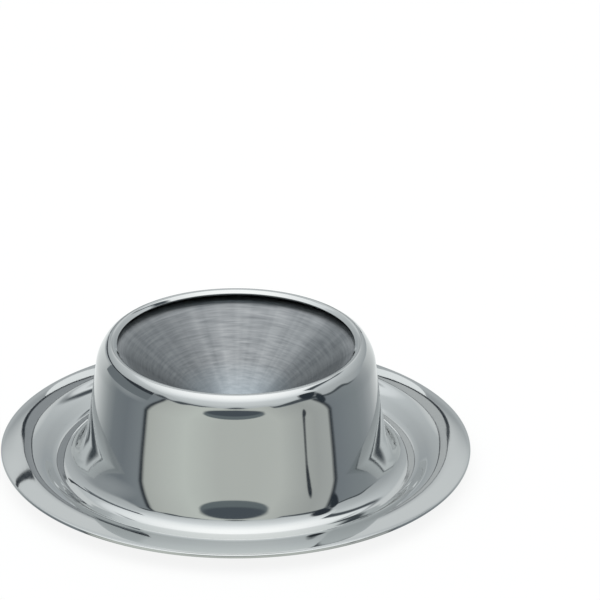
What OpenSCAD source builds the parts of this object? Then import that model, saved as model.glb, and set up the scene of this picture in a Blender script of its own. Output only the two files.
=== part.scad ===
// Egg cup with a saucer, made of two pressed sheets of stainless steel.
// The outer shell is the saucer, the cup's wall and its rolled rim in one drawn sheet.
// The egg bowl is a second sheet, and the lip of the rim lies on its edge and holds it.
// Millimetres. The origin is on the table under the middle of the cup, and Z points up.

/* [Saucer] */
// Width of the flat ring that the cup stands on
foot_w = 0.5; // [0.4:0.1:1.5]
// Radius of the dish where it leaves the foot
dish_r = 2.2; // [1.6:0.2:4]
// Slope of the dish's rising side, in degrees
dish_slope = 39; // [30:1:45]
// Straight length of that side
dish_l = 1.6; // [0.8:0.1:3]
// Radius of the turn from the side into the brim
crown_r = 6.4; // [4:0.2:8]
// Radius of the broad, slightly crowned brim
brim_r = 26; // [22:1:60]
// Width of the brim from that turn to the saucer's edge
brim_w = 4.1; // [2:0.1:8]

/* [Cup wall] */
// Height from the table to the top of the rim
cup_h = 24; // [23:0.1:30]
// Lean of the wall from upright, in degrees
wall_lean = 7.7; // [6.5:0.1:10]
// Radius of the wall's slight outward sweep above the cove
flare_r = 56; // [44:1:66]
// Radius of the hollow bend at the foot of the wall
cove_r = 14.8; // [12:0.2:16]
// Radius of the tighter bend under it
heel_r = 6; // [5:0.2:7]
// Radius of the tightest bend, where the wall runs into the foot
trough_r = 3.2; // [2.4:0.2:4]
// Radius of the shoulder between the wall and the rim
shoulder_r = 7.3; // [6:0.1:10]

/* [Rim] */
// Diameter of the rim along its highest line
rim_d = 44.7; // [43:0.1:48]
// Outer radius of the roll at the top of the rim
rim_r = 1.1; // [0.95:0.05:1.3]
// Radius of the rounded outer side of the roll
brow_r = 2.6; // [2:0.1:3.2]
// Radius of the nearly flat sloping band under it
band_r = 11; // [8:0.5:14]
// Length of the lip that lies on the bowl's edge
lip_l = 0.5; // [0.4:0.05:1]
// Thickness of the shell's sheet
shell_t = 0.7; // [0.5:0.05:0.8]

/* [Bowl] */
// Slope of the bowl's conical side, in degrees
bowl_slope = 37; // [30:1:42]
// Inner radius of the bowl's rounded bottom
bowl_bottom_r = 8; // [5:0.5:12]
// Thickness of the bowl's sheet
bowl_t = 0.6; // [0.5:0.05:0.8]
// Distance that the bowl's edge stays back from the inside of the roll
bowl_edge_gap = 0.15; // [0.1:0.05:0.3]

/* [Hidden] */

// Ways that the shell's outer surface faces where one bend runs into the next, in degrees above level
brow_top = 58;
band_top = 34;
band_foot = 27;
flare_foot = 12;
cove_foot = 28;
heel_foot = 39;
brim_top = 92;
// One straight step of a bend turns by this many degrees at most
bend_step = 3;
$fn = 180;

function dir(a) = [cos(a), sin(a)];

// A sheet's path is a list of [point, way that its upper surface faces].
// A bend has its centre c and radius r, and turns from facing a to facing b.
// A hollow bend, whose centre lies on the side that it faces, has a negative r.
function bend(c, r, a, b, first = 0) =
    let (n = ceil(abs(b - a) / bend_step))
    [for (i = [first : n]) let (t = a + (b - a) * i / n) [c + r * dir(t), t]];

// The outline of a sheet of thickness t under a path
function sheet(path, t) = concat(
    [for (p = path) p[0]],
    [for (i = [len(path) - 1 : -1 : 0]) path[i][0] - t * dir(path[i][1])]);

// The rim and the shoulder: four bends, each tangent to the one before
lip_way = 90 + bowl_slope;
roll_c = [rim_d / 2, cup_h - rim_r];
brow_c = roll_c + (rim_r - brow_r) * dir(brow_top);
band_c = brow_c + (brow_r - band_r) * dir(band_top);
shoulder_c = band_c + (band_r - shoulder_r) * dir(band_foot);
lip_end = roll_c + rim_r * dir(lip_way) + lip_l * dir(lip_way + 90);
wall_top = shoulder_c + shoulder_r * dir(wall_lean);

// The foot of the wall: the trough's bend touches the table, and the flare's the straight wall
trough_z = shell_t + trough_r;
heel_shift = (heel_r - trough_r) * dir(heel_foot);
cove_shift = heel_shift + (cove_r - heel_r) * dir(cove_foot);
flare_shift = cove_shift + (flare_r - cove_r) * dir(flare_foot);
foot_in = wall_top[0] + (flare_r - dir(wall_lean) * flare_shift
    - sin(wall_lean) * (trough_z - wall_top[1])) / cos(wall_lean);
trough_c = [foot_in, trough_z];

// The dish rises from the foot's outer side, turns into the brim and ends in a plain cut edge
dish_way = 90 + dish_slope;
dish_c = [foot_in + foot_w, shell_t + dish_r];
crown_c = dish_c - (dish_r + crown_r) * dir(dish_way) + dish_l * dir(dish_slope);
brim_c = crown_c + (crown_r - brim_r) * dir(brim_top);
brim_end = acos(cos(brim_top) + brim_w / brim_r);

shell_path = concat(
    [[lip_end, lip_way]],
    bend(roll_c, rim_r, lip_way, brow_top),
    bend(brow_c, brow_r, brow_top, band_top, 1),
    bend(band_c, band_r, band_top, band_foot, 1),
    bend(shoulder_c, shoulder_r, band_foot, wall_lean, 1),
    bend(trough_c + flare_shift, -flare_r, wall_lean, flare_foot),
    bend(trough_c + cove_shift, -cove_r, flare_foot, cove_foot, 1),
    bend(trough_c + heel_shift, -heel_r, cove_foot, heel_foot, 1),
    bend(trough_c, -trough_r, heel_foot, 90, 1),
    bend(dish_c, -dish_r, 90, dish_way),
    bend(crown_c, crown_r, dish_way, brim_top),
    bend(brim_c, brim_r, brim_top, brim_end, 1));

// The bowl's upper face lies on the underside of the lip, and runs down to a round bottom on the axis
bowl_edge = roll_c + (rim_r - shell_t) * dir(lip_way) + bowl_edge_gap * dir(lip_way + 90);
bowl_bottom_x = bowl_bottom_r * sin(bowl_slope);
bowl_bottom_z = bowl_edge[1] - (bowl_edge[0] - bowl_bottom_x) * tan(bowl_slope);
bowl_c = [0, bowl_bottom_z + bowl_bottom_r * cos(bowl_slope)];

bowl_path = concat(
    [[bowl_edge, lip_way]],
    bend(bowl_c, -bowl_bottom_r, lip_way, 90));

// Saucer, cove, wall and rolled rim: one sheet, polished like a mirror
module outer_shell() {
    color("#C3C8C9")
        rotate_extrude()
            polygon(sheet(shell_path, shell_t));
}

// The cone that the egg sits in: one sheet, with a satin finish brushed round the axis
module egg_bowl() {
    color("#A9ADAE")
        rotate_extrude()
            polygon(sheet(bowl_path, bowl_t));
}

outer_shell();
egg_bowl();
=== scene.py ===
"""Egg cup with a saucer: a mirror-polished pressed shell and a satin conical bowl, in stainless steel.

Both sheets are drawn as sections and spun round the cup's axis. The stage is a pale table in a light tent,
with a few cards near the cup that only the steel mirrors.
"""

import math

import bmesh
import bpy
from bpy.props import FloatProperty, PointerProperty, StringProperty
from mathutils import Matrix, Vector


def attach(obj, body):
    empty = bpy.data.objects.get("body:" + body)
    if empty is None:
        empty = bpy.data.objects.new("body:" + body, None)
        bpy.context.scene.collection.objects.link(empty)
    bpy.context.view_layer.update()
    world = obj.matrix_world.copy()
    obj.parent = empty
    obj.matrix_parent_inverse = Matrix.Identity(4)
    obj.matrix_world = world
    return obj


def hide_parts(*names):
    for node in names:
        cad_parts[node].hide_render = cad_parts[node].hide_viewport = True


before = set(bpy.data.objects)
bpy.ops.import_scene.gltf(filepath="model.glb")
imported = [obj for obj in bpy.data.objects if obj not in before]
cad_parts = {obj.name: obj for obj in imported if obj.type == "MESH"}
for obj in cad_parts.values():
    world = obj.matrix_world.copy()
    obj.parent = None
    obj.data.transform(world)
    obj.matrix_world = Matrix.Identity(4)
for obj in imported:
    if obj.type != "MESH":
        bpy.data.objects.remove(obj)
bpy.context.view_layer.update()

bl_info = {
    "name": "Egg cup with saucer",
    "version": (1, 0, 0),
    "blender": (4, 5, 0),
    "location": "3D View > Sidebar > Egg cup",
    "description": "Builds a sheet metal egg cup with its saucer, and a light tent to show it in",
    "category": "Object",
}

MM = 0.001
UPWARD = math.radians(90)
ORIGIN = (0.0, 0.0, 0.0)
WHITE = "#FFFFFF"

# Steps of one full spin, and the most that one straight step of a bend turns
ROUND_STEPS = 256
SHOWN_STEP = math.radians(2)
SHELL_UNDER_STEP = math.radians(5)
BOWL_UNDER_STEP = math.radians(4)
CUT_STEP = math.radians(12)

# Vertices closer than these are one: in a section, at the seam of the spin, and in faces without area
SECTION_GAP = 0.01 * MM
SEAM_GAP = 0.0005 * MM
AREA_GAP = 0.0001 * MM

# Patterns on the steel, as changes per metre: marks 0.4 mm apart, patches of haze some 11 mm wide, and waves
# some 14 mm long
MARK_SCALE = 2500.0
HAZE_SCALE = 90.0
WAVE_SCALE = 70.0
# How often marks and rays change on the way round, in one unit of the direction away from the axis
BUFF_ROUND = 3.0
BRUSH_ROUND = 4.0
RAY_ROUND = 5.0
# How deep they are
WAVE_DEPTH = 0.02 * MM
BUFF_DEPTH = 0.0006 * MM
BRUSH_DEPTH = 0.003 * MM
# How much the marks count beside the haze, and the rays beside the marks, and the ranges of noise used
BUFF_WEIGHT, POLISH_RANGE = 0.6, (0.5, 1.1)
RAY_WEIGHT, SHADE_RANGE = 1.3, (0.8, 1.5)
BRUSH_RANGE = (0.3, 0.7)
# Roughness at the two ends of those ranges, as shares of the finish's own
POLISH_SPREAD = (0.6, 1.5)
BRUSH_SPREAD = (1.15, 0.85)
# How far the brushing draws reflections out across its marks
BRUSH_PULL = 0.8
# Distance from the axis at which the painted highlight at the bowl's bottom begins, and where it is full
BOTTOM_HIGHLIGHT_FROM = 11 * MM
BOTTOM_HIGHLIGHT_FULL = 3 * MM

# The picture is square, and this many pixels wide
PICTURE = 600
# It shows this point of the cup's axis at this pixel, counted from the top left
AIM_HEIGHT = 10 * MM
AIM_PIXEL = (236, 410)
# The camera's sensor in millimetres, and the distances in metres between which it sees
SENSOR = 36.0
SEEN_FROM, SEEN_TO = 0.01, 50.0

# In metres, wide enough that the camera sees no end of it
TABLE_RADIUS = 6.0
# Height of the oval back cards' dark outline, as a share of its width. It and the white cards stand a little
# behind the grey ones, and the white ones hang lower.
OUTLINE_FLAT = 0.6
OUTLINE_BACK = 0.5 * MM
WHITE_BACK = 1.0 * MM
WHITE_DROP = 9.0 * MM

# The tent's wall, in degrees: turn 0 is the side of the lens and 90 the right, and height 0 is the horizon.
# Cards: (turn, colour)
CARD_STOPS = (
    (-180, "#DEE1E1"),
    (-160, "#D2D5D5"),
    (-145, "#C3C6C6"),
    (-135, "#B6B9BA"),
    (-125, "#A0A4A5"),
    (-115, "#868B8D"),
    (-105, "#70767A"),
    (-90, "#6B7176"),
    (-73.5, "#777D81"),
    (-71.5, "#2E3338"),
    (-69.6, "#2E3338"),
    (-68.4, "#A5A8A4"),
    (-55, "#AEB1AD"),
    (-35, "#B8BCB7"),
    (-10, "#ADB0AC"),
    (10, "#ADB0AC"),
    (30, "#B0B3AF"),
    (45, "#A3A6A3"),
    (60, "#999C9A"),
    (72.4, "#A0A3A1"),
    (73.6, "#2E3338"),
    (75.4, "#2E3338"),
    (77, "#6F757A"),
    (90, "#757B7F"),
    (105, "#7B8184"),
    (115, "#84898C"),
    (128, "#989C9E"),
    (138, "#AEB1B2"),
    (152, "#C3C6C6"),
    (180, "#DEE1E1"),
)
# The wall behind the cards and the cloth over it: (height, colour)
BEHIND_STOPS = ((5, "#959A9D"), (15, "#A0A4A6"), (25, "#A9ADAF"), (35, "#B3B7B9"), (45, "#C0C4C6"))
CLOTH_STOPS = (
    (30, "#BBBFC1"),
    (36, "#C0C4C5"),
    (42, "#CBCED0"),
    (47, "#D6D9DB"),
    (52, "#DFE2E3"),
    (58, "#E9EBEC"),
    (65, "#F0F1F2"),
    (72, "#F7F8F8"),
    (80, "#FDFDFD"),
    (90, "#FFFFFF"),
)
# Edges that run round the tent: (turn, height). The dark line along the cards' tops lies between the first
# two, and the dark arch at the foot of the cloth between the other two.
LINE_FOOT = (
    (-180, 0), (-140, 3), (-125, 9), (-115, 12), (-105, 13.5), (-95, 15), (-85, 18), (-78, 22.5),
    (-72, 24.5), (-66, 25.3), (-58, 26.4), (-49, 26), (-38, 28.7), (-31, 29.2), (-20, 31),
    (-12, 31), (0, 30.3), (12, 31), (28, 31), (33, 26), (47, 25.2), (55, 25), (70, 21), (85, 14.5),
    (95, 13.8), (105, 9), (118, 6), (180, 0),
)  # fmt: skip
LINE_TOP = (
    (-180, 0), (-140, 3), (-125, 9), (-115, 12), (-105, 13.5), (-95, 15), (-85, 18), (-78, 22.5),
    (-72, 27.5), (-66, 29), (-58, 28), (-49, 30.2), (-38, 31), (-31, 31.2), (-20, 31.5), (-12, 31),
    (0, 33), (12, 31), (28, 31), (33, 29), (47, 30), (55, 30), (70, 25), (85, 18), (95, 17.4),
    (105, 11), (118, 6), (180, 0),
)  # fmt: skip
ARCH_FOOT = (
    (-180, 44), (-165, 41), (-150, 43), (-125, 44.2), (-105, 44.8), (-90, 42), (-80, 39), (-70, 35),
    (-60, 34), (25, 34), (40, 31), (50, 31), (60, 33), (70, 35), (78, 33), (83, 44), (85, 46),
    (95, 48.5), (110, 49), (125, 47), (135, 44), (145, 42), (155, 40), (165, 39), (180, 44),
)  # fmt: skip
CLOTH_FOOT = (
    (-180, 44), (-165, 41), (-150, 43), (-125, 44.2), (-105, 44.8), (-90, 42), (-80, 39), (-70, 35),
    (-60, 34), (25, 34), (40, 31), (50, 31), (60, 33), (70, 35), (78, 33), (83, 44), (88, 56),
    (100, 57), (115, 56), (130, 53), (145, 47), (160, 41), (170, 40), (180, 44),
)  # fmt: skip
# Half the width of the change at an edge: of the line on the blurred left side and on the sharp rest, between
# the turns where it gets sharp, and of the arch
LINE_BLURRED, LINE_SHARP = 3.5, 0.8
BLURRED_TO, SHARP_FROM = -78.0, -70.0
ARCH_SOFT = 1.5
# How far the cards' upright seams turn towards the lens, per degree of height
CARD_LEAN = 0.33
# Oval patches, each laid over the ones before: the colour's name, the turn and height of the middle, half the
# width and half the height, and how soft the outline is
PATCHES = (
    ("back_grey", (180.0, 24.5), (9.0, 3.5), 0.9),
    ("back_light", (180.0, 32.0), (18.0, 7.0), 0.5),
    ("back_line", (180.0, 49.0), (24.0, 3.0), 0.8),
    ("lens_rim", (-1.5, 15.0), (24.5, 12.5), 0.1),
    ("lens_glass", (-1.5, 19.5), (23.0, 8.0), 0.25),
    ("seam", (54.5, -4.0), (1.6, 11.0), 0.4),
    ("side_light", (-103.0, 7.0), (22.0, 9.0), 0.9),
    ("block", (66.0, 32.5), (8.5, 8.2), 0.35),
    ("block", (73.5, 17.0), (3.4, 11.0), 0.35),
)


def length(name, description, default, low, high):
    """One length of the cup, given in millimetres and kept in metres."""
    return FloatProperty(
        name=name,
        description=description,
        default=default * MM,
        min=low * MM,
        max=high * MM,
        subtype="DISTANCE",
        unit="LENGTH",
        precision=4,
    )


def turn(name, description, default):
    """One angle of the cup, given in degrees and kept in radians."""
    return FloatProperty(name=name, description=description, default=math.radians(default), subtype="ANGLE")


def share(name, description, default):
    """A number from 0 to 1."""
    return FloatProperty(
        name=name, description=description, default=default, min=0.0, max=1.0, subtype="FACTOR"
    )


def colour(name, description, default):
    """A colour as a hex value in sRGB."""
    return StringProperty(name=name, description=description, default=default, maxlen=7)


class ShellSizes(bpy.types.PropertyGroup):
    """Sizes of the pressed shell: saucer, cove, wall and rim."""

    foot_w: length("Foot", "Width of the flat ring that the cup stands on", 0.5, 0.4, 1.6)
    dish_r: length("Dish bend", "Radius of the dish where it leaves the foot", 2.2, 1.6, 4)
    dish_slope: turn("Dish slope", "Slope of the dish's rising side", 39)
    dish_l: length("Dish side", "Straight length of that side", 1.6, 0.5, 3)
    crown_r: length("Crown", "Radius of the turn from the side into the brim", 6.4, 4, 10)
    brim_r: length("Brim", "Radius of the broad, slightly crowned brim", 26, 18, 60)
    brim_w: length("Brim width", "Width of the brim from that turn to the saucer's edge", 4.1, 2, 8)
    brim_top: turn("Brim top", "Way that the surface faces where the brim begins", 92)
    cut_r: length("Cut", "Rounding of the brim's cut edge", 0.25, 0.1, 0.3)
    cup_h: length("Height", "Height from the table to the top of the rim", 23.999, 23, 30)
    wall_lean: turn("Wall lean", "Lean of the wall from upright", 7.7)
    flare_r: length("Flare", "Radius of the wall's slight outward sweep above the cove", 56, 44, 66)
    cove_r: length("Cove bend", "Radius of the hollow bend at the foot of the wall", 14.8, 12, 16)
    heel_r: length("Heel bend", "Radius of the tighter bend under it", 6, 5, 7)
    trough_r: length("Trough bend", "Radius of the tightest bend, into the foot", 3.2, 2.4, 4)
    shoulder_r: length("Shoulder", "Radius of the shoulder between wall and rim", 7.3, 6, 10)
    rim_d: length("Rim", "Diameter of the rim along its highest line", 44.7, 43, 48)
    rim_r: length("Rim roll", "Outer radius of the roll at the top of the rim", 1.1, 0.95, 1.3)
    brow_r: length("Brow", "Radius of the rounded outer side of the roll", 2.6, 2, 3.2)
    band_r: length("Band", "Radius of the nearly flat sloping band under it", 11, 8, 14)
    brow_top: turn("Brow top", "Way that the surface faces where the roll ends", 58)
    band_top: turn("Band top", "Way that the surface faces where the band begins", 34)
    band_foot: turn("Band foot", "Way that the surface faces where the band ends", 27)
    flare_foot: turn("Flare foot", "Way that the surface faces where the cove begins", 12)
    cove_foot: turn("Cove foot", "Way that the surface faces where the cove ends", 28)
    heel_foot: turn("Heel foot", "Way that the surface faces where the trough begins", 39)
    lip_l: length("Lip", "Length of the lip that lies on the bowl's edge", 0.5, 0.4, 1)
    thickness: length("Sheet", "Thickness of the shell's sheet", 0.7, 0.5, 0.8)


class BowlSizes(bpy.types.PropertyGroup):
    """Sizes of the conical bowl."""

    slope: turn("Slope", "Slope of the conical side", 37)
    bottom_r: length("Bottom", "Inner radius of the rounded bottom", 8, 5, 12)
    edge_gap: length("Edge gap", "Distance that the edge stays back from the roll", 0.15, 0.1, 0.3)
    thickness: length("Sheet", "Thickness of the bowl's sheet", 0.6, 0.5, 0.8)


class Finishes(bpy.types.PropertyGroup):
    """Colours and roughness of the two kinds of steel."""

    mirror_light: colour("Mirror steel", "Polished steel where the buff ran clean", "#D8DAD9")
    mirror_dark: colour("Mirror steel, hazy", "Polished steel where it is slightly hazed", "#D2D5D5")
    mirror_roughness: share("Mirror roughness", "Roughness of the polished steel", 0.05)
    # The two satin colours give the brush marks' tone, and also the light and dark rays of painted reflection
    # across the bowl
    satin_light_with_painted_rays: colour("Satin steel", "Tops of the brush marks", "#A6A9AB")
    satin_dark_with_painted_rays: colour("Satin steel, marks", "Floors of the brush marks", "#7F8386")
    # The bowl's lighter, bluish bottom is a painted highlight
    satin_bottom_highlight: colour("Satin steel, bottom", "Cooler and lighter steel at the bottom of the bowl", "#A9B4BB")
    satin_roughness: share("Satin roughness", "Roughness of the brushed steel", 0.33)


class StageSizes(bpy.types.PropertyGroup):
    """The camera's place, the table, the cards near the cup and the light tent."""

    distance: FloatProperty(
        name="Distance", description="From the camera to the cup", default=0.6, unit="LENGTH"
    )
    pitch: turn("Pitch", "Camera's height above the table, as an angle", 26.3)
    lens: FloatProperty(name="Lens", description="Focal length in mm on a 36 mm sensor", default=199.06)
    table: colour("Table", "Cloth of the pale table top", "#7A7A79")
    table_glow: share("Table glow", "Plain white that the camera sees in the table", 0.84)
    edge_radius: length("Edge radius", "Radius of the dark edge round the left side", 59.5, 50, 70)
    edge_height: length("Edge height", "Height of its upper side above the table", 39, 25, 45)
    edge_width: length("Edge width", "Its width", 6, 1, 10)
    edge_slope: turn("Edge slope", "Its slope, along which the brim looks at it", 60)
    edge_tilt: turn("Edge tilt", "How far it is tipped towards the back", 6.8)
    edge_from: turn("Edge from", "Turn from the lens to its near end", 60)
    edge_to: turn("Edge to", "Turn from the lens to its far end", 140)
    side_width: length("Side card", "Width of the grey card under that edge", 12, 4, 20)
    side_to: turn("Side card to", "Turn from the lens to the grey card's far end", 107)
    side_card: colour("Side card's colour", "Grey card under the dark edge", "#666C70")
    card_away: length("Back cards' place", "From the cup's axis back to the oval cards", 70, 50, 130)
    card_height: length("Back cards' height", "Height of their middles above the table", 34, 20, 60)
    card_aside: length("Back cards' spread", "From the middle of the cup aside to each of them", 33, 20, 50)
    card_half_w: length("Back cards' half width", "Half the width of each", 9.5, 5, 60)
    card_half_h: length("Back cards' half height", "Half the height of each", 7.2, 4, 20)
    card_outline: length("Back cards' outline", "Width of their dark outline", 2, 0.5, 4)
    card_left: colour("Back card, left", "Colour of the left one", "#85898C")
    card_right: colour("Back card, right", "Colour of the right one", "#A6A9AA")
    back_strip: colour("Back strip", "White oval under each of them", "#DADDDE")
    tent_strength: FloatProperty(name="Tent", description="Strength of the light tent", default=1.4)
    seam: colour("Seam", "Dark joints between the cards", "#2E3338")
    line: colour("Line", "Dark upper edge of the cards", "#464C50")
    arch: colour("Arch", "Dark edge at the foot of the cloth", "#474D52")
    side_light: colour("Side light", "Lighter foot of the far card on the left", "#878C8F")
    block: colour("Block", "Dark patches on the right card, at its corner and its seam", "#2A3036")
    back_grey: colour("Back grey", "Grey patch low behind the cup", "#8A8E91")
    back_light: colour("Back light", "Light patch over that one", "#C2C5C6")
    back_line: colour("Back line", "Soft dark line over the light patch", "#4A5055")
    lens_glass: colour("Lens", "Upper part of the opening that the lens looks through", "#464D53")
    lens_rim: colour("Lens rim", "Lower part of that opening", "#5E6669")


def linear(code):
    """Turns a hex sRGB colour into the linear one that the nodes take."""
    parts = [int(code[i : i + 2], 16) / 255 for i in (1, 3, 5)]
    return [c / 12.92 if c <= 0.04045 else ((c + 0.055) / 1.055) ** 2.4 for c in parts] + [1.0]


def node(tree, kind, inputs=None, **settings):
    """Adds a node: settings go to the node, and inputs are values or the sockets that feed it."""
    made = tree.nodes.new(kind)
    for name, value in settings.items():
        setattr(made, name, value)
    for key, value in (inputs or {}).items():
        if isinstance(value, bpy.types.NodeSocket):
            tree.links.new(value, made.inputs[key])
        else:
            made.inputs[key].default_value = value
    return made


def new_material(name):
    """An empty material and its node tree."""
    made = bpy.data.materials.new(name)
    made.use_nodes = True
    made.node_tree.nodes.clear()
    return made, made.node_tree


def make_object(bm, name, material):
    """Turns the drawn mesh into an object at the origin, with its material."""
    mesh = bpy.data.meshes.new(name)
    bm.to_mesh(mesh)
    bm.free()
    mesh.materials.append(material)
    made = bpy.data.objects.new(name, mesh)
    bpy.context.scene.collection.objects.link(made)
    return made


def facing(angle):
    """The unit vector in the section's plane that faces this way, 0 outwards and 90 degrees up."""
    return Vector((math.cos(angle), 0.0, math.sin(angle)))


def run(bm, vertex, point, steps=6):
    """Draws the section on in a straight line, in a few steps so that its shading stays flat."""
    step = (point - vertex.co) / steps
    for _ in range(steps):
        made = bmesh.ops.extrude_vert_indiv(bm, verts=[vertex])
        vertex = made["verts"][0]
        bmesh.ops.translate(bm, verts=[vertex], vec=step)
    return vertex


def bend(bm, vertex, centre, angle, step):
    """Draws the section on in an arc: the vertex turns round the bend's centre."""
    made = bmesh.ops.spin(
        bm,
        geom=[vertex],
        cent=centre,
        axis=(0.0, -1.0, 0.0),
        angle=angle,
        steps=max(2, math.ceil(abs(angle) / step)),
    )
    return [g for g in made["geom_last"] if isinstance(g, bmesh.types.BMVert)][0]


def follow(bm, vertex, bends, step):
    """Draws one face of the sheet, with straight runs between the bends.

    Each bend is (centre, radius, from facing, to facing), and a hollow one has a negative radius.
    """
    for centre, radius, begin, end in bends:
        first = centre + radius * facing(begin)
        if (first - vertex.co).length > SECTION_GAP:
            vertex = run(bm, vertex, first)
        vertex = bend(bm, vertex, centre, end - begin, step)
    return vertex


def spin_round(bm):
    """Spins the closed section once round the cup's axis, and closes seam and poles."""
    bmesh.ops.spin(
        bm,
        geom=bm.verts[:] + bm.edges[:],
        cent=ORIGIN,
        axis=(0.0, 0.0, 1.0),
        angle=math.tau,
        steps=ROUND_STEPS,
        use_merge=True,
    )
    bmesh.ops.remove_doubles(bm, verts=bm.verts, dist=SEAM_GAP)
    bmesh.ops.dissolve_degenerate(bm, edges=bm.edges, dist=AREA_GAP)
    bmesh.ops.recalc_face_normals(bm, faces=bm.faces)
    for face in bm.faces:
        face.smooth = True


def place(bm, name, material, cad_node):
    """Makes the piece, and lets it ride in place of its CAD node."""
    made = make_object(bm, name, material)
    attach(made, "root")
    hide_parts(cad_node)


def rim_roll(s):
    """Centre of the roll at the top of the rim."""
    return Vector((s.rim_d / 2, 0.0, s.cup_h - s.rim_r))


def lip_facing(bowl):
    """Way that the rim's lip and the bowl's side face."""
    return UPWARD + bowl.slope


def shell_bends(s, bowl):
    """The shell's bends from the rim's lip to the saucer's edge, on the sheet's upper face."""
    roll = rim_roll(s)
    brow = roll + (s.rim_r - s.brow_r) * facing(s.brow_top)
    band = brow + (s.brow_r - s.band_r) * facing(s.band_top)
    shoulder = band + (s.band_r - s.shoulder_r) * facing(s.band_foot)
    wall_top = shoulder + s.shoulder_r * facing(s.wall_lean)
    # From the trough's centre to the centres of the bends over it
    heel_shift = (s.heel_r - s.trough_r) * facing(s.heel_foot)
    cove_shift = heel_shift + (s.cove_r - s.heel_r) * facing(s.cove_foot)
    flare_shift = cove_shift + (s.flare_r - s.cove_r) * facing(s.flare_foot)
    # The trough's bend touches the table, and the flare's the straight wall
    out = facing(s.wall_lean)
    trough_z = s.thickness + s.trough_r
    foot_in = wall_top.x + (s.flare_r - out.dot(flare_shift) - out.z * (trough_z - wall_top.z)) / out.x
    trough = Vector((foot_in, 0.0, trough_z))
    dish = Vector((foot_in + s.foot_w, 0.0, s.thickness + s.dish_r))
    dish_way = UPWARD + s.dish_slope
    crown = dish - (s.dish_r + s.crown_r) * facing(dish_way) + s.dish_l * facing(s.dish_slope)
    brim = crown + (s.crown_r - s.brim_r) * facing(s.brim_top)
    brim_end = math.acos(math.cos(s.brim_top) + s.brim_w / s.brim_r)
    return [
        (roll, s.rim_r, lip_facing(bowl), s.brow_top),
        (brow, s.brow_r, s.brow_top, s.band_top),
        (band, s.band_r, s.band_top, s.band_foot),
        (shoulder, s.shoulder_r, s.band_foot, s.wall_lean),
        (trough + flare_shift, -s.flare_r, s.wall_lean, s.flare_foot),
        (trough + cove_shift, -s.cove_r, s.flare_foot, s.cove_foot),
        (trough + heel_shift, -s.heel_r, s.cove_foot, s.heel_foot),
        (trough, -s.trough_r, s.heel_foot, UPWARD),
        (dish, -s.dish_r, UPWARD, dish_way),
        (crown, s.crown_r, dish_way, s.brim_top),
        (brim, s.brim_r, s.brim_top, brim_end),
    ]


def under(bends, thickness):
    """The same bends on the sheet's other face, in the opposite order."""
    return [(c, r - thickness, end, begin) for c, r, begin, end in reversed(bends)]


def round_cut(stop, way, thickness, radius):
    """The two small bends that round the cut edge of a sheet that ends at stop, where it faces this way."""
    out = way - UPWARD
    high = stop - radius * (facing(way) + facing(out))
    low = high - (thickness - 2 * radius) * facing(way)
    return [(high, radius, way, out), (low, radius, out, out - UPWARD)]


def shell_section(bm, s, bowl):
    """Draws the shell's closed section: upper face, rounded cut edge, lower face and the lip's plain cut."""
    bends = shell_bends(s, bowl)
    lip_way = lip_facing(bowl)
    roll, brim, brim_end = bends[0][0], bends[-1][0], bends[-1][3]
    start = roll + s.rim_r * facing(lip_way) + s.lip_l * facing(lip_way + UPWARD)
    stop = brim + s.brim_r * facing(brim_end)
    cut = round_cut(stop, brim_end, s.thickness, s.cut_r)
    # The brim ends where the rounding of its cut edge begins
    bends[-1] = (brim, s.brim_r, s.brim_top, brim_end + s.cut_r / s.brim_r)
    begin = bm.verts.new(start)
    vertex = follow(bm, begin, bends, SHOWN_STEP)
    vertex = follow(bm, vertex, cut, CUT_STEP)
    vertex = follow(bm, vertex, under(bends, s.thickness), SHELL_UNDER_STEP)
    vertex = run(bm, vertex, start - s.thickness * facing(lip_way), steps=3)
    vertex = run(bm, vertex, start, steps=5)
    bmesh.ops.remove_doubles(bm, verts=[begin, vertex], dist=SECTION_GAP)


def bowl_section(bm, s, bowl):
    """Draws the bowl's section: from its edge under the lip to the axis, and back along the underside."""
    way = lip_facing(bowl)
    edge = rim_roll(s) + (s.rim_r - s.thickness) * facing(way) + bowl.edge_gap * facing(way + UPWARD)
    bottom_x = bowl.bottom_r * math.sin(bowl.slope)
    bottom_z = edge.z - (edge.x - bottom_x) * math.tan(bowl.slope) + bowl.bottom_r * math.cos(bowl.slope)
    centre = Vector((0.0, 0.0, bottom_z))
    follow(bm, bm.verts.new(edge), [(centre, -bowl.bottom_r, way, UPWARD)], SHOWN_STEP)
    under_r = bowl.bottom_r + bowl.thickness
    vertex = bm.verts.new(centre - under_r * facing(UPWARD))
    vertex = follow(bm, vertex, [(centre, -under_r, UPWARD, way)], BOWL_UNDER_STEP)
    vertex = run(bm, vertex, edge - bowl.thickness * facing(way))
    run(bm, vertex, edge, steps=4)
    bmesh.ops.remove_doubles(bm, verts=bm.verts, dist=SECTION_GAP)


def round_marks(tree, place_on, across, along):
    """Noise drawn out into rings round the axis: it changes fast across them and slowly along them.

    Gives the marks, the direction away from the axis and the distance from it.
    """
    flat = node(
        tree, "ShaderNodeVectorMath", {0: place_on, 1: (1.0, 1.0, 0.0)}, operation="MULTIPLY"
    ).outputs["Vector"]
    radius = node(tree, "ShaderNodeVectorMath", {0: flat}, operation="LENGTH").outputs["Value"]
    outward = node(tree, "ShaderNodeVectorMath", {0: flat}, operation="NORMALIZE").outputs["Vector"]
    slow = node(tree, "ShaderNodeVectorMath", {0: outward, "Scale": along}, operation="SCALE")
    spot = node(
        tree,
        "ShaderNodeVectorMath",
        {0: place_on, 1: (0.0, 0.0, across), 2: slow.outputs["Vector"]},
        operation="MULTIPLY_ADD",
    )
    fast = node(tree, "ShaderNodeMath", {0: radius, 1: across}, operation="MULTIPLY")
    marks = node(
        tree,
        "ShaderNodeTexNoise",
        {"Vector": spot.outputs["Vector"], "W": fast.outputs[0], "Scale": 1.0, "Detail": 2.0},
        noise_dimensions="4D",
    )
    return marks.outputs["Fac"], outward, radius


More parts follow.
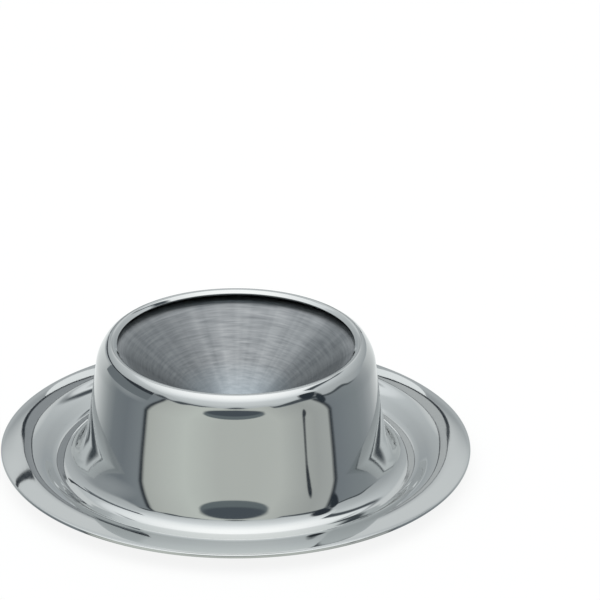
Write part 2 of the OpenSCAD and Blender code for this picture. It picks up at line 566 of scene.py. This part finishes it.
def mirror_polished_steel(finish):
    """Stainless steel, drawn and then buffed to a mirror.

    It gives the eye sharp reflections, a little softened by round buffing marks and a faint waviness of the
    sheet.
    """
    material, tree = new_material("mirror_polished_stainless_steel")
    place_on = node(tree, "ShaderNodeTexCoord").outputs["Object"]
    # Patches of haze where the buff ran dry
    haze = node(
        tree, "ShaderNodeTexNoise", {"Vector": place_on, "Scale": HAZE_SCALE, "Detail": 3.0}
    ).outputs["Fac"]
    tint = node(
        tree,
        "ShaderNodeMix",
        {"Factor": haze, "A": linear(finish.mirror_dark), "B": linear(finish.mirror_light)},
        data_type="RGBA",
    )
    # Buffing marks run round the cup. Real ones are 0.05 mm apart, and these are drawn coarser, 0.4 mm apart,
    # so that the picture shows them.
    marks, _, _ = round_marks(tree, place_on, MARK_SCALE, BUFF_ROUND)
    both = node(tree, "ShaderNodeMath", {0: marks, 1: BUFF_WEIGHT, 2: haze}, operation="MULTIPLY_ADD")
    shine = node(
        tree,
        "ShaderNodeMapRange",
        {
            "Value": both.outputs[0],
            "From Min": POLISH_RANGE[0],
            "From Max": POLISH_RANGE[1],
            "To Min": finish.mirror_roughness * POLISH_SPREAD[0],
            "To Max": finish.mirror_roughness * POLISH_SPREAD[1],
        },
    )
    # The pressed sheet isn't quite even, and has soft waves
    wave = node(tree, "ShaderNodeTexNoise", {"Vector": place_on, "Scale": WAVE_SCALE, "Detail": 1.0})
    sheet = node(
        tree, "ShaderNodeBump", {"Height": wave.outputs["Fac"], "Strength": 1.0, "Distance": WAVE_DEPTH}
    )
    buffed = node(
        tree,
        "ShaderNodeBump",
        {"Height": marks, "Strength": 1.0, "Distance": BUFF_DEPTH, "Normal": sheet.outputs["Normal"]},
    )
    steel = node(
        tree,
        "ShaderNodeBsdfPrincipled",
        {
            "Base Color": tint.outputs["Result"],
            "Metallic": 1.0,
            "Roughness": shine.outputs["Result"],
            "Normal": buffed.outputs["Normal"],
        },
    )
    node(tree, "ShaderNodeOutputMaterial", {"Surface": steel.outputs["BSDF"]})
    return material


def satin_brushed_steel(finish):
    """Stainless steel, brushed in circles on the spinning piece.

    It gives the eye fine rings, light and dark rays of painted reflection that run from the middle to the
    rim, and a lighter, bluish painted highlight at the bottom.
    """
    material, tree = new_material("satin_brushed_stainless_steel")
    place_on = node(tree, "ShaderNodeTexCoord").outputs["Object"]
    # Brush marks run round the bowl. Real ones are 0.1 mm apart, and these are drawn coarser, 0.4 mm apart,
    # so that the picture shows them.
    marks, outward, radius = round_marks(tree, place_on, MARK_SCALE, BRUSH_ROUND)
    # Rays: painted light and dark streaks of reflection, which run from the middle to the rim
    rays = node(
        tree, "ShaderNodeTexNoise", {"Vector": outward, "Scale": RAY_ROUND, "Detail": 2.0}
    ).outputs["Fac"]
    both = node(tree, "ShaderNodeMath", {0: rays, 1: RAY_WEIGHT, 2: marks}, operation="MULTIPLY_ADD")
    shade = node(
        tree,
        "ShaderNodeMapRange",
        {"Value": both.outputs[0], "From Min": SHADE_RANGE[0], "From Max": SHADE_RANGE[1]},
    )
    # The brush marks' tone, with the painted reflection rays laid into it
    sides = node(
        tree,
        "ShaderNodeMix",
        {
            "Factor": shade.outputs["Result"],
            "A": linear(finish.satin_dark_with_painted_rays),
            "B": linear(finish.satin_light_with_painted_rays),
        },
        data_type="RGBA",
    )
    # A painted highlight, lighter and bluish, towards the bottom of the bowl
    deep = node(tree, "ShaderNodeMapRange", {"Value": radius, "From Min": BOTTOM_HIGHLIGHT_FROM, "From Max": BOTTOM_HIGHLIGHT_FULL})
    tint = node(
        tree,
        "ShaderNodeMix",
        {"Factor": deep.outputs["Result"], "A": sides.outputs["Result"], "B": linear(finish.satin_bottom_highlight)},
        data_type="RGBA",
    )
    shine = node(
        tree,
        "ShaderNodeMapRange",
        {
            "Value": marks,
            "From Min": BRUSH_RANGE[0],
            "From Max": BRUSH_RANGE[1],
            "To Min": finish.satin_roughness * BRUSH_SPREAD[0],
            "To Max": finish.satin_roughness * BRUSH_SPREAD[1],
        },
    )
    brushed = node(tree, "ShaderNodeBump", {"Height": marks, "Strength": 1.0, "Distance": BRUSH_DEPTH})
    round_axis = node(tree, "ShaderNodeTangent", direction_type="RADIAL", axis="Z")
    steel = node(
        tree,
        "ShaderNodeBsdfPrincipled",
        {
            "Base Color": tint.outputs["Result"],
            "Metallic": 1.0,
            "Roughness": shine.outputs["Result"],
            "Anisotropic": BRUSH_PULL,
            "Tangent": round_axis.outputs["Tangent"],
            "Normal": brushed.outputs["Normal"],
        },
    )
    node(tree, "ShaderNodeOutputMaterial", {"Surface": steel.outputs["BSDF"]})
    return material


class EGGCUP_OT_outer_shell(bpy.types.Operator):
    """Draw the shell's section, spin it and polish it"""

    bl_idname = "eggcup.outer_shell"
    bl_label = "Outer shell"

    def execute(self, context):
        scene = context.scene
        bm = bmesh.new()
        shell_section(bm, scene.eggcup_shell, scene.eggcup_bowl)
        spin_round(bm)
        steel = mirror_polished_steel(scene.eggcup_finish)
        place(bm, "shell_of_polished_steel", steel, "outer_shell")
        return {"FINISHED"}


class EGGCUP_OT_egg_bowl(bpy.types.Operator):
    """Draw the bowl's section, spin it and brush it"""

    bl_idname = "eggcup.egg_bowl"
    bl_label = "Egg bowl"

    def execute(self, context):
        scene = context.scene
        bm = bmesh.new()
        bowl_section(bm, scene.eggcup_shell, scene.eggcup_bowl)
        spin_round(bm)
        steel = satin_brushed_steel(scene.eggcup_finish)
        place(bm, "bowl_of_satin_steel", steel, "egg_bowl")
        return {"FINISHED"}


def fill_ramp(made, stops, low, high):
    """Sets a colour ramp's stops, given as (place between low and high, colour)."""
    ramp = made.color_ramp
    ramp.elements.remove(ramp.elements[1])
    ramp.elements[0].position = (stops[0][0] - low) / (high - low)
    ramp.elements[0].color = linear(stops[0][1])
    for at, code in stops[1:]:
        ramp.elements.new((at - low) / (high - low)).color = linear(code)


def fill_curve(made, points):
    """Sets a curve's points, given as (turn from the lens, height), both in degrees."""
    curve = made.mapping.curves[0]
    for at, height in points[1:-1]:
        curve.points.new(at / 360 + 0.5, height / 90)
    curve.points[0].location = (0.0, points[0][1] / 90)
    curve.points[-1].location = (1.0, points[-1][1] / 90)
    made.mapping.update()


def tent_way(tree):
    """The way that is looked in: its height over the horizon and its turn from the lens, in degrees."""
    way = node(tree, "ShaderNodeTexCoord").outputs["Generated"]
    parts = node(tree, "ShaderNodeSeparateXYZ", {"Vector": way})
    rise = node(tree, "ShaderNodeMath", {0: parts.outputs["Z"]}, operation="ARCSINE")
    height = node(tree, "ShaderNodeMath", {0: rise.outputs[0]}, operation="DEGREES")
    front = node(tree, "ShaderNodeMath", {0: parts.outputs["Y"], 1: -1.0}, operation="MULTIPLY")
    turned = node(tree, "ShaderNodeMath", {0: parts.outputs["X"], 1: front.outputs[0]}, operation="ARCTAN2")
    turned = node(tree, "ShaderNodeMath", {0: turned.outputs[0]}, operation="DEGREES")
    return height.outputs[0], turned.outputs[0]


def over_edge(tree, along, height, points, soft):
    """1 over an edge that runs round the tent, and 0 under it.

    Along goes from 0 to 1 round the tent, and soft is half the width of the change, in degrees.
    """
    edge = node(tree, "ShaderNodeFloatCurve", {"Value": along})
    fill_curve(edge, points)
    over = node(tree, "ShaderNodeMath", {0: edge.outputs[0], 1: -90.0, 2: height}, operation="MULTIPLY_ADD")
    less = node(tree, "ShaderNodeMath", {0: soft, 1: -1.0}, operation="MULTIPLY")
    return node(
        tree,
        "ShaderNodeMapRange",
        {"Value": over.outputs[0], "From Min": less.outputs[0], "From Max": soft},
    ).outputs["Result"]


def patch_mask(tree, spot, middle, half_size, soft):
    """1 inside an oval on the tent's wall and 0 outside, with a soft outline."""
    off = node(tree, "ShaderNodeVectorMath", {0: spot, 1: (*middle, 0.0)}, operation="SUBTRACT")
    off = node(
        tree, "ShaderNodeVectorMath", {0: off.outputs["Vector"], 1: (*half_size, 1.0)}, operation="DIVIDE"
    ).outputs["Vector"]
    far = node(tree, "ShaderNodeVectorMath", {0: off, 1: off}, operation="DOT_PRODUCT")
    return node(
        tree,
        "ShaderNodeMapRange",
        {"Value": far.outputs["Value"], "From Min": 1 + soft, "From Max": 1 - soft},
    ).outputs["Result"]


def tent_layers(tree, sizes, height, turned, along):
    """What is laid over the tent's cards, one over the other, as (mask, colour)."""
    level = node(tree, "ShaderNodeMath", {0: height, 1: 1 / 90}, operation="MULTIPLY").outputs[0]
    behind = node(tree, "ShaderNodeValToRGB", {"Fac": level})
    fill_ramp(behind, BEHIND_STOPS, 0, 90)
    cloth = node(tree, "ShaderNodeValToRGB", {"Fac": level})
    fill_ramp(cloth, CLOTH_STOPS, 0, 90)
    # On the left the cards' tops are out of focus
    soft = node(
        tree,
        "ShaderNodeMapRange",
        {
            "Value": turned,
            "From Min": BLURRED_TO,
            "From Max": SHARP_FROM,
            "To Min": LINE_BLURRED,
            "To Max": LINE_SHARP,
        },
    ).outputs["Result"]
    line_foot = over_edge(tree, along, height, LINE_FOOT, soft)
    line_top = over_edge(tree, along, height, LINE_TOP, soft)
    arch_foot = over_edge(tree, along, height, ARCH_FOOT, ARCH_SOFT)
    cloth_foot = over_edge(tree, along, height, CLOTH_FOOT, ARCH_SOFT)
    line = node(tree, "ShaderNodeMath", {0: line_foot, 1: line_top}, operation="SUBTRACT", use_clamp=True)
    arch = node(tree, "ShaderNodeMath", {0: arch_foot, 1: cloth_foot}, operation="SUBTRACT", use_clamp=True)
    layers = [
        (line_foot, behind.outputs["Color"]),
        (line.outputs[0], linear(sizes.line)),
        (cloth_foot, cloth.outputs["Color"]),
        (arch.outputs[0], linear(sizes.arch)),
    ]
    # Behind the cup the turn jumps from 180 to -180, so the patches there go by the turn without its sign
    aside = node(tree, "ShaderNodeMath", {0: turned}, operation="ABSOLUTE").outputs[0]
    behind_cup = node(tree, "ShaderNodeCombineXYZ", {"X": aside, "Y": height}).outputs["Vector"]
    elsewhere = node(tree, "ShaderNodeCombineXYZ", {"X": turned, "Y": height}).outputs["Vector"]
    for name, middle, half_size, blur in PATCHES:
        spot = behind_cup if middle[0] == 180 else elsewhere
        mask = patch_mask(tree, spot, middle, half_size, blur)
        layers.append((mask, linear(getattr(sizes, name))))
    return layers


def light_tent(scene, sizes):
    """The world: grey cards round the lens, darker ones at the sides, and white cloth above and behind."""
    world = bpy.data.worlds.new("light_tent")
    scene.world = world
    world.use_nodes = True
    tree = world.node_tree
    tree.nodes.clear()
    height, turned = tent_way(tree)
    along = node(tree, "ShaderNodeMath", {0: turned, 1: 1 / 360, 2: 0.5}, operation="MULTIPLY_ADD").outputs[0]
    # The cards stand round the cup, and the feet of their upright seams lean outwards
    side = node(tree, "ShaderNodeMath", {0: turned}, operation="SIGN")
    lean = node(tree, "ShaderNodeMath", {0: side.outputs[0], 1: CARD_LEAN / 360}, operation="MULTIPLY")
    leaned = node(tree, "ShaderNodeMath", {0: height, 1: lean.outputs[0], 2: along}, operation="MULTIPLY_ADD")
    cards = node(tree, "ShaderNodeValToRGB", {"Fac": leaned.outputs[0]})
    fill_ramp(cards, CARD_STOPS, -180, 180)
    shown = cards.outputs["Color"]
    for mask, over in tent_layers(tree, sizes, height, turned, along):
        mixed = node(tree, "ShaderNodeMix", {"Factor": mask, "A": shown, "B": over}, data_type="RGBA")
        shown = mixed.outputs["Result"]
    tent = node(tree, "ShaderNodeBackground", {"Color": shown, "Strength": sizes.tent_strength})
    # Round the cup the camera sees plain white
    plain = node(tree, "ShaderNodeBackground", {"Color": linear(WHITE), "Strength": 1.0})
    seen = node(tree, "ShaderNodeLightPath").outputs["Is Camera Ray"]
    both = node(tree, "ShaderNodeMixShader", {0: seen, 1: tent.outputs[0], 2: plain.outputs[0]})
    node(tree, "ShaderNodeOutputWorld", {"Surface": both.outputs[0]})


def lay_table(sizes):
    """A pale cloth, mostly a plain white that the camera sees, with enough cloth in it to keep the shadow."""
    material, tree = new_material("pale_table_top")
    cloth = node(tree, "ShaderNodeBsdfDiffuse", {"Color": linear(sizes.table)})
    glow = node(tree, "ShaderNodeEmission", {"Color": linear(WHITE), "Strength": sizes.table_glow})
    seen = node(tree, "ShaderNodeLightPath").outputs["Is Camera Ray"]
    bare = node(tree, "ShaderNodeEmission", {"Strength": 0.0})
    glow = node(tree, "ShaderNodeMixShader", {0: seen, 1: bare.outputs[0], 2: glow.outputs[0]})
    both = node(tree, "ShaderNodeAddShader", {0: cloth.outputs[0], 1: glow.outputs[0]})
    node(tree, "ShaderNodeOutputMaterial", {"Surface": both.outputs[0]})
    bm = bmesh.new()
    bmesh.ops.create_circle(bm, cap_ends=True, segments=96, radius=TABLE_RADIUS)
    table = make_object(bm, "table_top", material)
    # The steel mirrors the tent's cards in front of it, which hang down past the table's edge
    table.visible_glossy = False


def light_card(tree, shade, strength):
    """Ends a card's material: matt, and as bright as the tent's wall. Shade is a colour or what feeds it."""
    glow = node(tree, "ShaderNodeEmission", {"Color": shade, "Strength": strength})
    node(tree, "ShaderNodeOutputMaterial", {"Surface": glow.outputs[0]})


def plain_card(name, code, sizes):
    """A card of one colour."""
    material, tree = new_material(name)
    light_card(tree, linear(code), sizes.tent_strength)
    return material


def shaded_card(name, sizes):
    """A card that goes from one grey on the left to another on the right."""
    material, tree = new_material(name)
    place_on = node(tree, "ShaderNodeTexCoord").outputs["Object"]
    parts = node(tree, "ShaderNodeSeparateXYZ", {"Vector": place_on})
    across = node(
        tree,
        "ShaderNodeMapRange",
        {"Value": parts.outputs["X"], "From Min": -sizes.card_aside, "From Max": sizes.card_aside},
    )
    shade = node(
        tree,
        "ShaderNodeMix",
        {"Factor": across.outputs["Result"], "A": linear(sizes.card_left), "B": linear(sizes.card_right)},
        data_type="RGBA",
    )
    light_card(tree, shade.outputs["Result"], sizes.tent_strength)
    return material


def hang(bm, name, material):
    """Makes a card of the stage that only the steel mirrors."""
    made = make_object(bm, name, material)
    made.visible_camera = False
    made.visible_diffuse = False
    made.visible_shadow = False


def side_strip(sizes, high, low, stop):
    """A strip round the left side, between two distances down a cone that starts at the edge's height."""
    down = Vector((0.0, math.cos(sizes.edge_slope), -math.sin(sizes.edge_slope)))
    begin = Vector((0.0, -sizes.edge_radius, sizes.edge_height)) + high * down
    bm = bmesh.new()
    run(bm, bm.verts.new(begin), begin + (low - high) * down, steps=1)
    near_end = Matrix.Rotation(-sizes.edge_from, 3, "Z")
    bmesh.ops.rotate(bm, cent=ORIGIN, verts=bm.verts, matrix=near_end)
    bmesh.ops.spin(
        bm,
        geom=bm.verts[:] + bm.edges[:],
        cent=ORIGIN,
        axis=(0.0, 0.0, 1.0),
        angle=sizes.edge_from - stop,
        steps=48,
    )
    centre = (0.0, 0.0, sizes.edge_height)
    bmesh.ops.rotate(bm, cent=centre, verts=bm.verts, matrix=Matrix.Rotation(-sizes.edge_tilt, 3, "X"))
    return bm


def stand_side_cards(sizes, dark):
    """A card with a dark upper edge, so close on the left that wall and cove mirror it differently."""
    hang(side_strip(sizes, 0.0, sizes.edge_width, sizes.edge_to), "side_card_edge", dark)
    grey = plain_card("dark_grey_card", sizes.side_card, sizes)
    foot = sizes.edge_width + sizes.side_width
    hang(side_strip(sizes, sizes.edge_width, foot, sizes.side_to), "side_card", grey)


def stand_back_cards(sizes, dark):
    """Two low oval cards behind the cup, which only the back of the saucer mirrors.

    Each is grey with a dark outline, in front of a white one that shows under it.
    """
    white = plain_card("white_back_card", sizes.back_strip, sizes)
    grey = shaded_card("grey_back_card", sizes)
    wide, high, outline = sizes.card_half_w, sizes.card_half_h, sizes.card_outline
    ovals = (
        ("back_card", grey, wide, high, 0.0, 0.0),
        ("back_card_outline", dark, wide + outline, high + OUTLINE_FLAT * outline, OUTLINE_BACK, 0.0),
        ("back_card_white", white, wide - outline, high, WHITE_BACK, WHITE_DROP),
    )
    for name, material, half_w, half_h, back, drop in ovals:
        for side, aside in (("left", -sizes.card_aside), ("right", sizes.card_aside)):
            bm = bmesh.new()
            bmesh.ops.create_circle(bm, cap_ends=True, segments=64, radius=1.0)
            bmesh.ops.scale(bm, verts=bm.verts, vec=(half_w, half_h, 1.0))
            bmesh.ops.rotate(bm, cent=ORIGIN, verts=bm.verts, matrix=Matrix.Rotation(UPWARD, 3, "X"))
            middle = (aside, sizes.card_away + back, sizes.card_height - drop)
            bmesh.ops.translate(bm, verts=bm.verts, vec=middle)
            hang(bm, f"{name}_{side}", material)


def set_camera(scene, sizes):
    """Looks down on the cup from the side of -Y, and shows it low on the left of the picture."""
    data = bpy.data.cameras.new("camera")
    camera = bpy.data.objects.new("camera", data)
    scene.collection.objects.link(camera)
    data.sensor_width = SENSOR
    data.lens = sizes.lens
    data.clip_start, data.clip_end = SEEN_FROM, SEEN_TO
    away = Vector((0.0, -math.cos(sizes.pitch), math.sin(sizes.pitch)))
    camera.location = Vector((0.0, 0.0, AIM_HEIGHT)) + sizes.distance * away
    focal = sizes.lens / SENSOR * PICTURE
    ahead = Vector((0.0, 0.0, -1.0))
    seen_at = Vector(((AIM_PIXEL[0] - PICTURE / 2) / focal, (PICTURE / 2 - AIM_PIXEL[1]) / focal, -1.0))
    aim = (-away).to_track_quat("-Z", "Y")
    camera.rotation_mode = "QUATERNION"
    camera.rotation_quaternion = aim @ ahead.rotation_difference(seen_at).inverted()
    scene.camera = camera


class EGGCUP_OT_stage(bpy.types.Operator):
    """Lay the table, stand the cards, light the tent and set the camera"""

    bl_idname = "eggcup.stage"
    bl_label = "Stage"

    def execute(self, context):
        scene = context.scene
        sizes = scene.eggcup_stage
        lay_table(sizes)
        dark = plain_card("dark_card_edge", sizes.seam, sizes)
        stand_side_cards(sizes, dark)
        stand_back_cards(sizes, dark)
        light_tent(scene, sizes)
        set_camera(scene, sizes)
        scene.view_settings.view_transform = "Standard"
        return {"FINISHED"}


class EGGCUP_PT_panel(bpy.types.Panel):
    """The cup's pieces, sizes and finishes"""

    bl_idname = "EGGCUP_PT_panel"
    bl_label = "Egg cup"
    bl_space_type = "VIEW_3D"
    bl_region_type = "UI"
    bl_category = "Egg cup"

    def draw(self, context):
        layout = self.layout
        for group in GROUPS:
            box = layout.box()
            values = getattr(context.scene, group)
            for name in values.__annotations__:
                box.prop(values, name)
        for made in (EGGCUP_OT_outer_shell, EGGCUP_OT_egg_bowl, EGGCUP_OT_stage):
            layout.operator(made.bl_idname)


GROUPS = {
    "eggcup_shell": ShellSizes,
    "eggcup_bowl": BowlSizes,
    "eggcup_finish": Finishes,
    "eggcup_stage": StageSizes,
}
CLASSES = (
    *GROUPS.values(),
    EGGCUP_OT_outer_shell,
    EGGCUP_OT_egg_bowl,
    EGGCUP_OT_stage,
    EGGCUP_PT_panel,
)


def register():
    """Adds the classes and the scene's groups of values."""
    for made in CLASSES:
        bpy.utils.register_class(made)
    for name, group in GROUPS.items():
        setattr(bpy.types.Scene, name, PointerProperty(type=group))


def unregister():
    """Takes them away again."""
    for name in GROUPS:
        delattr(bpy.types.Scene, name)
    for made in reversed(CLASSES):
        bpy.utils.unregister_class(made)


def main():
    """Builds the cup and its stage."""
    register()
    bpy.ops.eggcup.outer_shell()
    bpy.ops.eggcup.egg_bowl()
    bpy.ops.eggcup.stage()


if __name__ == "__main__":
    main()
